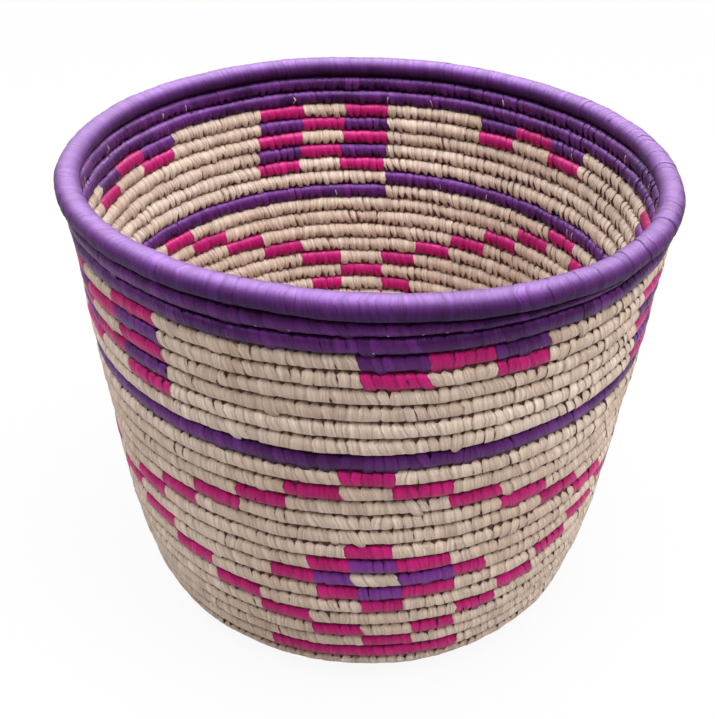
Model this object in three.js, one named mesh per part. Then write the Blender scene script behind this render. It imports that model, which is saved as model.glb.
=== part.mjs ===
// Coiled sabai grass basket.
// A coil of grass bound with split leaf spirals out from the middle of the floor, turns up at the
// foot and climbs the wall, and a thicker rim coil closes the top. Every round of the coil is a
// length of its own. Millimetres, +Z up, with the origin in the middle of the underside.
import * as THREE from 'three';

// Thickness of the coil, measured along the basket's wall or floor
const START_COIL = 8.5; // in the middle of the floor
const FOOT_COIL = 9.7; // where the floor turns up into the wall
const TOP_COIL = 7.3; // under the rim
const COIL_WIDTH = 8.8; // through the wall, from inside to outside

// Rim coil
const RIM_HEIGHT = 9.6;
const RIM_WIDTH = 11.2;

// Clearances
const ROUND_GAP = 0.5; // between a round and the next
const BEND_GAP = 0.9; // more than that where the floor turns up, because the rounds fan out there
const END_GAP = 0.4; // between the end of one length and the start of the next

// Path of the coil, counted in rounds from the middle of the floor
const START_RADIUS = 5.2;
const FLOOR_ROUNDS = 10;
const BEND_ROUNDS = 2; // the floor turns up over these rounds
const STRAIGHTEN_ROUNDS = 6.5; // and the wall straightens over these
const WALL_ROUNDS = 24; // whole ones, from the floor up
const COIL_END_ANGLE = THREE.MathUtils.degToRad(259.2); // how far the coil goes on past the last of them
const TAPER_ROUNDS = 0.25; // and over this last part of a round it thins out
const TAIL_THICKNESS = 0.6; // where it is cut off
const FOOT_LEAN = THREE.MathUtils.degToRad(13); // outwards from upright
const WALL_LEAN = THREE.MathUtils.degToRad(3.9);
const SEAM_ANGLE = THREE.MathUtils.degToRad(85.3); // where each round starts

// Facets
const STEPS = 24; // along one round
const SIDES = 8; // round the coil
const PROFILE_STEPS = 48; // for adding up the profile, in one round
const ROUNDING = 1e-6; // of a step, so that a whole round has no extra one

const FULL_TURN = 2 * Math.PI;
const CLIMB_ROUNDS = WALL_ROUNDS + COIL_END_ANGLE / FULL_TURN;
const END_OF_COIL = FLOOR_ROUNDS + CLIMB_ROUNDS;

const naturalLeaf = new THREE.MeshStandardMaterial({ color: 0xc2a88f, roughness: 0.75, metalness: 0 });
const purpleLeaf = new THREE.MeshStandardMaterial({ color: 0x58306f, roughness: 0.45, metalness: 0 });

// Rounds that are bound in purple all the way: the line round the wall and the two under the rim
const PURPLE_WALL_ROUNDS = [17, 24, 25];

function blend(from, to, share) {
  return THREE.MathUtils.lerp(from, to, THREE.MathUtils.clamp(share, 0, 1));
}

function thicknessAt(round) {
  if (round < FLOOR_ROUNDS) {
    return blend(START_COIL, FOOT_COIL, round / FLOOR_ROUNDS);
  }
  return blend(FOOT_COIL, TOP_COIL, (round - FLOOR_ROUNDS) / CLIMB_ROUNDS);
}

// Distance from one round to the next at a place on the coil. The bend's own gap comes in over half a
// round before the bend and goes out over half a round after it.
function spacingAt(round) {
  const intoBend = 2 * (round - FLOOR_ROUNDS) + 1;
  const outOfBend = 2 * (FLOOR_ROUNDS + BEND_ROUNDS - round) + 1;
  const bendGap = blend(0, BEND_GAP, Math.min(intoBend, outOfBend));
  return thicknessAt(round) + ROUND_GAP + bendGap;
}

// Climb of the profile: level on the floor, then turned up, then leaning out a little
function climbAt(round) {
  const foot = Math.PI / 2 - FOOT_LEAN;
  const wall = Math.PI / 2 - WALL_LEAN;
  const bent = round - FLOOR_ROUNDS;
  if (bent < BEND_ROUNDS) {
    return blend(0, foot, bent / BEND_ROUNDS);
  }
  return blend(foot, wall, (bent - BEND_ROUNDS) / STRAIGHTEN_ROUNDS);
}

// The profile: radius and height of the coil's middle, added up in small steps of a round
function makeProfile() {
  const points = [new THREE.Vector2(START_RADIUS, COIL_WIDTH / 2)];
  const count = Math.ceil(END_OF_COIL * PROFILE_STEPS) + 1;
  for (let step = 0; step < count; step += 1) {
    const middle = (step + 0.5) / PROFILE_STEPS;
    const length = spacingAt(middle) / PROFILE_STEPS;
    const climb = climbAt(middle);
    const last = points[step];
    points.push(new THREE.Vector2(last.x + length * Math.cos(climb), last.y + length * Math.sin(climb)));
  }
  return points;
}

const profile = makeProfile();

function profileAt(round) {
  const place = round * PROFILE_STEPS;
  const step = Math.min(Math.floor(place), profile.length - 2);
  return profile[step].clone().lerp(profile[step + 1], place - step);
}

// How much of the coil's thickness is left as its end thins out
function fullnessAt(round) {
  return THREE.MathUtils.clamp((END_OF_COIL - round) / TAPER_ROUNDS, 0, 1);
}

// A section of the coil: its middle, its climb, its thickness along the wall and its width
function coilSection(round) {
  const room = thicknessAt(round) + ROUND_GAP;
  const fullness = fullnessAt(round);
  const thickness = room * fullness - ROUND_GAP;
  const width = COIL_WIDTH * (1 + fullness) / 2;
  const climb = climbAt(round);
  const along = new THREE.Vector2(Math.cos(climb), Math.sin(climb));
  const drop = room * (1 - fullness) / 2;
  const middle = profileAt(round).addScaledVector(along, -drop);
  return { round, middle, climb, thickness, width };
}

// A section of the rim, which rests on whatever the coil has under it
function rimSection(round) {
  const below = round - 1;
  const spacing = spacingAt(round);
  const climb = climbAt(round);
  const along = new THREE.Vector2(Math.cos(climb), Math.sin(climb));
  const height = spacing * (0.5 + fullnessAt(round)) + (ROUND_GAP + RIM_HEIGHT) / 2;
  const middle = profileAt(below).addScaledVector(along, height);
  return { round, middle, climb, thickness: RIM_HEIGHT, width: RIM_WIDTH };
}

// Corners of a section as radius and height: an octagon with flats to the round before and the round
// after, where they press on each other, and to the inside and the outside. It never dips below the
// ground that the basket stands on.
function sectionCorners(section) {
  const along = new THREE.Vector2(Math.cos(section.climb), Math.sin(section.climb));
  const out = new THREE.Vector2(along.y, -along.x);
  const cornerReach = 0.5 / Math.cos(Math.PI / SIDES);
  const corners = [];
  for (let side = 0; side < SIDES; side += 1) {
    const angle = FULL_TURN * (side + 0.5) / SIDES;
    const corner = section.middle.clone();
    corner.addScaledVector(along, Math.cos(angle) * section.thickness * cornerReach);
    corner.addScaledVector(out, Math.sin(angle) * section.width * cornerReach);
    corner.y = Math.max(corner.y, 0);
    corners.push(corner);
  }
  return corners;
}

function angleAt(round) {
  return SEAM_ANGLE + FULL_TURN * round;
}

// Places along a length at even steps of a round, with its last one held back by the end gap
function placesAlong(first, last) {
  const places = [];
  const steps = Math.ceil((last - first) * STEPS - ROUNDING);
  for (let step = 0; step < steps; step += 1) {
    places.push(first + step / STEPS);
  }
  const gap = END_GAP / (FULL_TURN * profileAt(last).x);
  places.push(last - gap);
  return places;
}

// A closed tube through the sections
function tubeGeometry(sections) {
  const positions = [];
  for (const section of sections) {
    const angle = angleAt(section.round);
    for (const corner of sectionCorners(section)) {
      positions.push(corner.x * Math.cos(angle), corner.x * Math.sin(angle), corner.y);
    }
  }
  const faces = [];
  for (let ring = 0; ring < sections.length - 1; ring += 1) {
    for (let side = 0; side < SIDES; side += 1) {
      const next = (side + 1) % SIDES;
      const a = ring * SIDES + side;
      const b = ring * SIDES + next;
      faces.push(a, b, b + SIDES, a, b + SIDES, a + SIDES);
    }
  }
  const end = (sections.length - 1) * SIDES;
  for (let side = 1; side < SIDES - 1; side += 1) {
    faces.push(0, side + 1, side);
    faces.push(end, end + side, end + side + 1);
  }
  const geometry = new THREE.BufferGeometry();
  geometry.setAttribute('position', new THREE.Float32BufferAttribute(positions, 3));
  geometry.setIndex(faces);
  geometry.computeVertexNormals();
  return geometry;
}

function addLength(group, name, sections, material) {
  const mesh = new THREE.Mesh(tubeGeometry(sections), material.clone());
  mesh.name = name;
  group.add(mesh);
}

function numbered(word, number) {
  return `${word}_${String(number).padStart(2, '0')}`;
}

// The coil is cut off before it thins out to nothing
function cutOfCoil() {
  const left = (TAIL_THICKNESS + ROUND_GAP) / spacingAt(END_OF_COIL);
  return END_OF_COIL - TAPER_ROUNDS * left;
}

function addFloor(group) {
  for (let number = 1; number <= FLOOR_ROUNDS; number += 1) {
    const places = placesAlong(number - 1, number);
    addLength(group, numbered('base_round', number), places.map(coilSection), naturalLeaf);
  }
}

function addWall(group) {
  const cut = cutOfCoil();
  for (let number = 1; number <= Math.ceil(CLIMB_ROUNDS); number += 1) {
    const first = FLOOR_ROUNDS + number - 1;
    const places = placesAlong(first, Math.min(first + 1, cut));
    const material = PURPLE_WALL_ROUNDS.includes(number) ? purpleLeaf : naturalLeaf;
    addLength(group, numbered('wall_round', number), places.map(coilSection), material);
  }
}

function addRim(group) {
  const places = placesAlong(END_OF_COIL - 1, END_OF_COIL);
  addLength(group, 'rim_round', places.map(rimSection), purpleLeaf);
}

// Least distance between two sections that lie in one upright plane
function sectionGap(one, other) {
  let least = Infinity;
  const nearest = new THREE.Vector3();
  for (const [corners, edges] of [[one, other], [other, one]]) {
    for (const corner of corners) {
      const point = new THREE.Vector3(corner.x, corner.y, 0);
      for (let side = 0; side < SIDES; side += 1) {
        const from = edges[side];
        const to = edges[(side + 1) % SIDES];
        const edge = new THREE.Line3(new THREE.Vector3(from.x, from.y, 0), new THREE.Vector3(to.x, to.y, 0));
        edge.closestPointToPoint(point, true, nearest);
        least = Math.min(least, nearest.distanceTo(point));
      }
    }
  }
  return least;
}

// Least gap of the whole winding: each section to the one a round further on, and to the rim
function leastGap() {
  let least = Infinity;
  const cut = cutOfCoil();
  for (let round = 0; round <= cut; round += 1 / STEPS) {
    const here = sectionCorners(coilSection(round));
    if (round + 1 <= cut) {
      least = Math.min(least, sectionGap(here, sectionCorners(coilSection(round + 1))));
    }
    if (round >= END_OF_COIL - 1) {
      least = Math.min(least, sectionGap(here, sectionCorners(rimSection(round))));
    }
  }
  return least;
}

const basket = new THREE.Group();
basket.name = 'sabai_grass_basket';
addFloor(basket);
addWall(basket);
addRim(basket);

console.log(`least gap between rounds: ${leastGap().toFixed(3)} mm`);

export default basket;
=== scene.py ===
# %% [markdown]
# # A coiled grass basket
# The basket is one long bundle of grass, bound all the way with split leaf and wound round and round: out
# across the floor, up the wall and under a thick rim. Every few millimetres a strip of leaf goes round the
# bundle and catches the round below. This lesson dresses the plain solid rounds of the frame with those
# strips, several thousand of them, dyed pink and purple where the pattern runs.

# %% Load the frame
import math

import bmesh
import bpy
import numpy as np
from mathutils import Matrix, Vector


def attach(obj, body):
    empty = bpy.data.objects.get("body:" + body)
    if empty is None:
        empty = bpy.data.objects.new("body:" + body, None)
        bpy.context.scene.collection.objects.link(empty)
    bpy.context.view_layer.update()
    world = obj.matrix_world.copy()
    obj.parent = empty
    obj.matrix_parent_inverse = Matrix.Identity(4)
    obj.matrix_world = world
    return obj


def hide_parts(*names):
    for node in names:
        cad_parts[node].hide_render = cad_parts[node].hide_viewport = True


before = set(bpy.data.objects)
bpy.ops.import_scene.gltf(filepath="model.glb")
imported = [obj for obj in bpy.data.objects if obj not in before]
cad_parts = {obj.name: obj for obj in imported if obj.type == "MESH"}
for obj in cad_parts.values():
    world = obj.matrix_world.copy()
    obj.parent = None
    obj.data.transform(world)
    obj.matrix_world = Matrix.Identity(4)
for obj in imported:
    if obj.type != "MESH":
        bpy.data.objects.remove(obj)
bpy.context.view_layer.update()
BASE_ROUNDS = sorted(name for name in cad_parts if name.startswith("base_round"))
WALL_ROUNDS = sorted(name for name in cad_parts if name.startswith("wall_round"))
COIL_ROUNDS = BASE_ROUNDS + WALL_ROUNDS
RIM = "rim_round"

# %% [markdown]
# ## The coil's path
# Each round in the frame is a faceted tube: rings of eight corners, one ring every fifteen degrees. The path
# could be worked out again from the winding rule, but then two files would hold the same sizes. Here it is
# read back from the rings: the middle of each ring gives the radius and height of the coil there, and the
# way that the middle moves from ring to ring gives the direction up the wall. The frame's first round leaves
# a small hole in the middle of the floor. The real coil starts there with a pinched tip, so three more rings,
# each nearer the middle, lead the path in.

# %% Read the rings of corners
FULL_TURN = 2 * math.pi
SEAM_ANGLE = math.radians(85.3)  # where every round of the coil starts
RIM_JOINT = math.radians(344.5)  # where the rim's two ends meet, over the end of the coil
SAME_RING = 0.001  # corners of one ring differ by less than this, in radians
COIL_START = -2.2  # turns; inside its tip the path goes on round at the tip's radius and fills the middle
COIL_TIP = ((-0.9, 0.17), (-0.6, 0.44), (-0.3, 0.73))  # turns, and radius as a share of the first ring's
TIP_HEIGHT = 0.92  # the tip's height, as a share of the first ring's


def rings_of(node, start):
    """A round's rings in order: turns past the start, and the corners as radius and height."""
    corners = np.array([vertex.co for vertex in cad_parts[node].data.vertices])
    turned = np.arctan2(corners[:, 1], corners[:, 0]) - start
    turned = (turned + SAME_RING) % FULL_TURN - SAME_RING
    order = np.argsort(turned)
    breaks = np.flatnonzero(np.diff(turned[order]) > SAME_RING) + 1
    flat = np.stack([np.hypot(corners[:, 0], corners[:, 1]), corners[:, 2]], axis=1)
    return [(turned[ring].mean() / FULL_TURN, flat[ring]) for ring in np.split(order, breaks)]


coil_rings = []
for number, node in enumerate(COIL_ROUNDS):
    coil_rings += [(number + share, corners) for share, corners in rings_of(node, SEAM_ANGLE)]
rim_rings = rings_of(RIM, RIM_JOINT)
first_ring = coil_rings[0][1]
coil_rings = [(turn, first_ring * (share, TIP_HEIGHT)) for turn, share in COIL_TIP] + coil_rings
print(len(coil_rings), "rings on the coil and", len(rim_rings), "on the rim")

# %% Work out the sections
ROUND_GAP = 0.0005  # the frame keeps its rounds this far apart, and the real ones press on each other
BEND_GAP = 0.0014  # and this far where the floor turns up
BEND_TURNS = (9.5, 10.0, 12.0, 12.5)  # the gap grows between the first two and shrinks between the others
LAST_FULL_TURN = 34.4  # after this the end of the coil thins out, and its middle sinks
FOOT_TURN, TOP_TURN = 12.0, 33.0  # places to measure


def middle_of(corners):
    return (corners.min(axis=0) + corners.max(axis=0)) / 2


class Winding:
    """Middle, direction up the wall and half sizes of the coil, at any number of turns along it."""

    def __init__(self, rings, start, along=None):
        self.start = start
        self.turns = np.array([turn for turn, corners in rings])
        self.middles = np.array([middle_of(corners) for turn, corners in rings])
        self.along = along or self.slope()
        self.halves = np.array([self.half_sizes(turn, corners) for turn, corners in rings])

    def slope(self):
        """Direction up the wall at each ring, held where the coil's end sinks."""
        slope = np.gradient(self.middles, self.turns, axis=0)
        slope /= np.linalg.norm(slope, axis=1)[:, None]
        full = self.turns < LAST_FULL_TURN
        return lambda turn: self.spread(turn, self.turns[full], slope[full])

    @staticmethod
    def spread(turn, turns, values):
        """Values between the rings."""
        return np.stack([np.interp(turn, turns, column) for column in values.T], axis=-1)

    def half_sizes(self, turn, corners):
        """Half the coil's thickness up the wall and half its width through the wall."""
        up = self.along(turn)
        out = np.array([up[1], -up[0]])
        gap = np.interp(turn, BEND_TURNS, (ROUND_GAP, BEND_GAP, BEND_GAP, ROUND_GAP))
        return [np.ptp(corners @ up) / 2 + gap / 2, np.ptp(corners @ out) / 2]

    def at(self, turn):
        """Points, up and out directions and half sizes for an array of turns, in the frame's own axes."""
        angle = self.start + FULL_TURN * turn
        middle = self.spread(turn, self.turns, self.middles)
        up = self.along(turn)
        halves = self.spread(turn, self.turns, self.halves)

        def stand(flat):
            return np.stack([flat[:, 0] * np.cos(angle), flat[:, 0] * np.sin(angle), flat[:, 1]], axis=1)

        return stand(middle), stand(up), stand(np.stack([up[:, 1], -up[:, 0]], axis=1)), halves


def rim_slope(turn):
    """The rim stands on the wall, so it leans as the wall does under it."""
    return coil.along(np.full_like(turn, LAST_FULL_TURN))


coil = Winding(coil_rings, SEAM_ANGLE)
rim = Winding(rim_rings, RIM_JOINT, rim_slope)
measured = coil.at(np.array([FOOT_TURN, TOP_TURN]))[3]
print("half sizes at the foot and under the rim:", measured.round(4).tolist())

# %% [markdown]
# ## The pattern
# The pattern is not printed: the maker changes to a dyed strip for a count of stitches and back again. So it
# is a list of blocks, each on one row of the wall, from one angle to another. Rows are counted down from the
# rim, which is row 1, and a row is one turn of the coil, so it climbs by its own height on its way round.
# The blocks come from a few rules: lines that step down by a row at a time and cross, a small cross in each
# diamond, and checks that hang from the purple top. An image would be quicker, but its edges would cut
# through strips, and on the real basket a colour only changes from one strip to the next.

# %% Stepped diamonds
PINK, PURPLE = "pink", "purple"
TOP_ROW = len(COIL_ROUNDS) + 1
SEAM = math.degrees(SEAM_ANGLE)
blocks = []  # row, first and last angle in degrees, dye

DIAMONDS = (147.5, 270.0, 391.2)  # middles: left, front and right of the seam at the back
TOP_HALF, FOOT_HALF = 4.6, 5.1  # half widths of the blocks at a diamond's top and foot
UPPER_ROW, LOWER_ROW = 11, 23
FOOT_DRIFT = 4.6  # the foot of a diamond lies this far on from its top
LAST_BLOCK = (-19, 21)  # the wide block under the foot, from the diamond's middle
CROSSINGS = ((16, 85.9, 97.6), (17, 206.0, 216.0), (17, 327.0, 337.0))  # where the lines cross
SEAM_CROSSING = (17, 445.9, 457.6)  # the first one, reached from the other side of the seam


def block(row, first, last, dye):
    blocks.append((row, min(first, last), max(first, last), dye))


def stepped_line(row, angle, last_row, last_angle):
    """Blocks that go on from a row and angle by one row at a time, just to the last row and angle."""
    steps = abs(last_row - row) - 1
    down = 1 if last_row > row else -1
    for step in range(steps):
        first = angle + (last_angle - angle) * step / steps
        last = angle + (last_angle - angle) * (step + 1) / steps
        block(row + down * (step + 1), first, last, PINK)


for row, first, last in CROSSINGS:
    block(row, first, last, PINK)
for middle, before, after in zip(DIAMONDS, CROSSINGS, CROSSINGS[1:] + (SEAM_CROSSING,)):
    foot = middle + FOOT_DRIFT
    for row, centre, half in ((UPPER_ROW, middle, TOP_HALF), (LOWER_ROW, foot, FOOT_HALF)):
        block(row, centre - half, centre + half, PINK)
        stepped_line(row, centre - half, before[0], before[2])
        stepped_line(row, centre + half, after[0], after[1])
    block(LOWER_ROW + 1, middle + LAST_BLOCK[0], middle + LAST_BLOCK[1], PINK)
print(len(blocks), "blocks in the diamonds")

# %% Crosses and checks
NATURAL = None
CROSS_ROW = 18  # the row through the middle of a cross
CROSS_EDGES = (-21.0, -12.2, -4.4, 4.4, 15.2, 22.4)  # columns of a cross, from its middle
CROSS_DRIFT = 2.2  # a cross lies this far on from its diamond's top
ROW_DRIFT = 0.7  # its columns move on by this from row to row
CROSS = (
    (NATURAL, NATURAL, PINK, NATURAL, NATURAL),
    (NATURAL, PINK, PURPLE, PINK, NATURAL),
    (PINK, PURPLE, NATURAL, PURPLE, PINK),
    (NATURAL, PINK, PURPLE, PINK, NATURAL),
    (NATURAL, NATURAL, PINK, NATURAL, NATURAL),
)
CROSS_REACH = len(CROSS) // 2
LIGHT_CHECK, DARK_CHECK = (PINK, NATURAL, PINK), (PURPLE, PINK, PURPLE)
TALL_CHECKS = (LIGHT_CHECK, DARK_CHECK, LIGHT_CHECK, DARK_CHECK, LIGHT_CHECK)
TALL_EDGES = (-17.0, -5.5, 5.5, 17.0)
TALL_PLACES = ((4, 101.4), (4, 215.6), (5, 343.0))  # top row and middle
SHORT_CHECKS = (DARK_CHECK, LIGHT_CHECK)
SHORT_EDGES = (-15.7, -4.9, 5.9, 15.5)
SHORT_PLACES = ((4, 160.2), (4, 283.9), (5, 405.0))
CHECK_DRIFT = 0.4


def figure(row, middle, edges, rows, drift):
    """Rows of blocks between a list of column edges, from the top row down."""
    for down, dyes in enumerate(rows):
        for first, last, dye in zip(edges, edges[1:], dyes):
            if dye:
                block(row + down, middle + drift * down + first, middle + drift * down + last, dye)


for middle in DIAMONDS:
    start = middle + CROSS_DRIFT - CROSS_REACH * ROW_DRIFT
    figure(CROSS_ROW - CROSS_REACH, start, CROSS_EDGES, CROSS, ROW_DRIFT)
for row, middle in TALL_PLACES:
    figure(row, middle, TALL_EDGES, TALL_CHECKS, CHECK_DRIFT)
for row, middle in SHORT_PLACES:
    figure(row, middle, SHORT_EDGES, SHORT_CHECKS, CHECK_DRIFT)
print(len(blocks), "blocks in all")

# %% The dye at any place
TOP_PURPLE_TURN = 32.72  # from here to its end the coil is bound in purple
PURPLE_ROW = 10


def dyed(turns, wanted):
    """1 where the binding has the wanted dye, else 0, for an array of turns along the coil."""
    row = TOP_ROW - np.floor(turns).astype(int)
    angle = SEAM + 360 * (turns % 1)
    found = np.zeros(len(turns))
    for block_row, first, last, dye in blocks:
        if dye != wanted:
            continue
        for over in (0, 360):
            found[(row == block_row) & (angle + over >= first) & (angle + over < last)] = 1
    if wanted == PURPLE:
        found[row == PURPLE_ROW] = 1
    top = turns >= TOP_PURPLE_TURN
    found[top] = 1 if wanted == PURPLE else 0
    return found


def pattern(turns):
    return dyed(turns, PINK), dyed(turns, PURPLE)


def all_purple(turns):
    return np.zeros_like(turns), np.ones_like(turns)


def block_ends(number):
    """Where the dye changes on one round of the coil, as shares of the round."""
    row = TOP_ROW - number
    shares = {TOP_PURPLE_TURN - number}
    for block_row, first, last, dye in blocks:
        if block_row == row:
            shares |= {(angle - SEAM) / 360 - over for angle in (first, last) for over in (0, 1)}
    return sorted(share for share in shares if 0 < share < 1)


print(len(block_ends(TOP_ROW - CROSS_ROW)), "changes of dye on the row through the crosses")

# %% [markdown]
# ## A strip of leaf
# One strip is a closed loop round the bundle: a shallow crown on top and a flat underside. Where it dives
# between two rows it is drawn in, which leaves the small dark notches along the top of each row outside and
# the teeth along the lower edge inside. Its lower end catches the round below, and some ends hang over it as
# a small tail. A bump on a plain tube would look flat at the outline and in the light from the side, so the
# strips are meshes. The loop is built once in a straight unit space, x across the strip, y out of the wall
# and z up along it, so that the same mesh fits every thickness of coil. Notch, tooth, tail and sunk edges
# are kept beside the points, and the binding puts them on by a different share for each strip.

# %% The section of a strip
# Places round a strip: angle in degrees (0 is out, 90 is up), how far the strip is drawn in there, how
# round it lies, and how much of a loose end outside or of a tooth inside it has there
PROFILE = (
    (-90, 0.60, 0.60, 0.60, 0.40),
    (-67, 0.35, 0.50, 1.00, 0.00),
    (-42, 0.00, 0.30, 0.10, 0.00),
    (-14, 0.00, 0.22, 0.00, 0.00),
    (14, 0.00, 0.22, 0.00, 0.00),
    (42, 0.10, 0.35, 0.00, 0.00),
    (60, 0.80, 0.85, 0.00, 0.00),
    (77, 1.10, 1.00, 0.00, 0.00),
    (103, 0.70, 0.80, 0.00, 0.00),
    (130, 0.15, 0.55, 0.00, 0.00),
    (162, 0.00, 0.50, 0.00, 0.00),
    (190, 0.20, 0.60, 0.00, 0.10),
    (211, 0.60, 0.80, 0.00, 0.50),
    (232, 1.00, 0.90, 0.00, 1.00),
    (251, 1.00, 1.00, 0.00, 0.90),
)
OUTSIDE = (0.90, 2.55)  # depth as a share of the round's own, and squareness: 2 is round, more is flatter
INSIDE = (0.94, 2.0)
RIM_SIDE = (1.0, 2.05)


def squared(value, power):
    return math.copysign(abs(value) ** (2 / power), value)


def section_place(degrees, outside, inside):
    """A place on the bound coil's section, in half widths and half thicknesses."""
    depth, squareness = inside if 90 < degrees < 270 else outside
    y, z = math.cos(math.radians(degrees)), math.sin(math.radians(degrees))
    return squared(y, squareness) * depth, squared(z, squareness)


print(len(PROFILE), "places round a strip")

# %% Strip meshes
TAIL = (0.30, -0.32)  # the way that a loose end hangs over the round below, outside, as y and z
TAIL_POINT = 0.0024  # how much narrower it is, in metres
TOOTH = (-0.10, -0.34)  # the way that the inside ends reach over the round below
ACROSS = (-0.5, 0.0, 0.5)  # places across the strip, in widths
EDGES = (0.35, 0.0, 1.0)  # how much each place sinks: one edge lies over the neighbour
NATURAL_ROUNDING, DYED_ROUNDING, RIM_ROUNDING = 0.16, 0.14, 0.05  # how deep, as a share of the section


def strip_points(build, rounding, outside, inside):
    """Rings of points across the strip, with the changes that the binding makes to them later."""
    tail_layer = build.verts.layers.float_vector.new("tail")
    tooth_layer = build.verts.layers.float_vector.new("tooth")
    sink_layer = build.verts.layers.float_vector.new("sink")
    draw_layer = build.verts.layers.float.new("draw")
    side_layer = build.verts.layers.float.new("side")
    rings = []
    for degrees, drawn, rounded, loose, tooth in PROFILE:
        y, z = section_place(degrees, outside, inside)
        ring = []
        for x, edge in zip(ACROSS, EDGES):
            vertex = build.verts.new((x, y, z))
            vertex[sink_layer] = Vector((0, -y, -z)) * rounding * rounded * edge
            vertex[draw_layer] = -x * drawn
            vertex[side_layer] = x
            vertex[tail_layer] = Vector((-x * TAIL_POINT, *TAIL)) * loose
            vertex[tooth_layer] = Vector((0, *TOOTH)) * tooth
            ring.append(vertex)
        rings.append(ring)
    return rings


def strip_faces(build, rings, uv_layer):
    """Faces from ring to ring, mapped across and along the strip, with a sharp line at both edges."""
    count, steps = len(ACROSS), len(rings)
    for step, ring in enumerate(rings):
        after = rings[(step + 1) % steps]
        for side in range(count):
            other = (side + 1) % count
            face = build.faces.new((ring[side], ring[other], after[other], after[side]))
            face.smooth = True
            spots = ((side, step), (other, step), (other, step + 1), (side, step + 1))
            for loop, (place, turn) in zip(face.loops, spots):
                loop[uv_layer].uv = (ACROSS[place] - ACROSS[0], turn / steps)
        for side in (0, -1):
            build.edges.get((ring[side], after[side])).smooth = False


def leaf_strip(name, rounding, outside=OUTSIDE, inside=INSIDE):
    """A closed loop of leaf that is only instanced. Its edges lie lower than its crown."""
    build = bmesh.new()
    uv_layer = build.loops.layers.uv.new("strip")
    strip_faces(build, strip_points(build, rounding, outside, inside), uv_layer)
    bmesh.ops.recalc_face_normals(build, faces=build.faces)
    mesh = bpy.data.meshes.new(name)
    build.to_mesh(mesh)
    build.free()
    return bpy.data.objects.new(name, mesh)


natural_strip = leaf_strip("natural_strip", NATURAL_ROUNDING)
dyed_strip = leaf_strip("dyed_strip", DYED_ROUNDING)
rim_strip = leaf_strip("rim_strip", RIM_ROUNDING, RIM_SIDE, RIM_SIDE)
print("faces in a strip:", len(natural_strip.data.polygons))

# %% [markdown]
# ## Leaf finishes
# Split leaf is dry and matt, with fine fibres along the strip, and no two strips have quite the same tone.
# The dye takes the fibres in and leaves a soft gloss. All the leaf materials share one node group, which
# reads the strip's own map: fibres along it, masks where shade is painted at its edges and in the grooves
# between rows, a tone for each strip, and now and then a fleck, where a thread of undyed leaf shows beside a
# dyed strip. A noise in space would be simpler, but its fibres would run straight through from one strip to
# the next.


# %% Node helpers
def srgb(red, green, blue):
    """A colour as seen on a screen, 0 to 255, as the linear colour that Blender works with."""
    shares = [value / 255 for value in (red, green, blue)]
    return tuple(s / 12.92 if s <= 0.04045 else ((s + 0.055) / 1.055) ** 2.4 for s in shares) + (1.0,)


def add(tree, kind, links=None, **settings):
    """A new node in a tree. links gives its inputs by name or number: another node's output, or a value."""
    node = tree.nodes.new(kind)
    for name, value in settings.items():
        setattr(node, name, value)
    for name, value in (links or {}).items():
        if isinstance(value, bpy.types.NodeSocket):
            tree.links.new(value, node.inputs[name])
        else:
            node.inputs[name].default_value = value
    return node


def maths(tree, operation, first, second=0.0):
    return add(tree, "ShaderNodeMath", {0: first, 1: second}, operation=operation).outputs[0]


def vector_maths(tree, operation, first, second):
    name = "Scale" if operation == "SCALE" else 1
    return add(tree, "ShaderNodeVectorMath", {0: first, name: second}, operation=operation).outputs[0]


def combine(tree, x, y=0.0, z=0.0):
    return add(tree, "ShaderNodeCombineXYZ", {0: x, 1: y, 2: z}).outputs[0]


def parts(tree, vector):
    """A vector's x, y and z."""
    return add(tree, "ShaderNodeSeparateXYZ", {0: vector}).outputs


def span(tree, value, low, high, to_low=0.0, to_high=1.0):
    """A value between low and high, taken to lie between two others."""
    links = {"Value": value, "From Min": low, "From Max": high, "To Min": to_low, "To Max": to_high}
    return add(tree, "ShaderNodeMapRange", links).outputs[0]


def within(tree, value, low, high):
    """1 between low and high, else 0."""
    above = maths(tree, "GREATER_THAN", value, low)
    return maths(tree, "MULTIPLY", above, maths(tree, "LESS_THAN", value, high))


def noise(tree, place, scale, detail=1.0):
    links = {"Vector": place, "Scale": scale, "Detail": detail}
    return add(tree, "ShaderNodeTexNoise", links).outputs


# %% Helpers for materials
MATT = 0.9  # roughness of what has no gloss
WHITE = srgb(255, 255, 255)


def new_material(name):
    material = bpy.data.materials.new(name)
    material.use_nodes = True
    tree = material.node_tree
    return material, tree, tree.nodes["Principled BSDF"]


def mix_colour(tree, share, first, second, blend="MIX"):
    links = {"Factor": share, 6: first, 7: second}
    return add(tree, "ShaderNodeMix", links, data_type="RGBA", blend_type=blend).outputs[2]


def attribute(tree, name):
    return add(tree, "ShaderNodeAttribute", attribute_name=name).outputs["Fac"]


def own_place(tree):
    return add(tree, "ShaderNodeTexCoord").outputs["Object"]


def white_noise(tree, value):
    """A number from 0 to 1 that is a different one for each value."""
    return add(tree, "ShaderNodeTexWhiteNoise", {"W": value}, noise_dimensions="1D").outputs["Value"]


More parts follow.
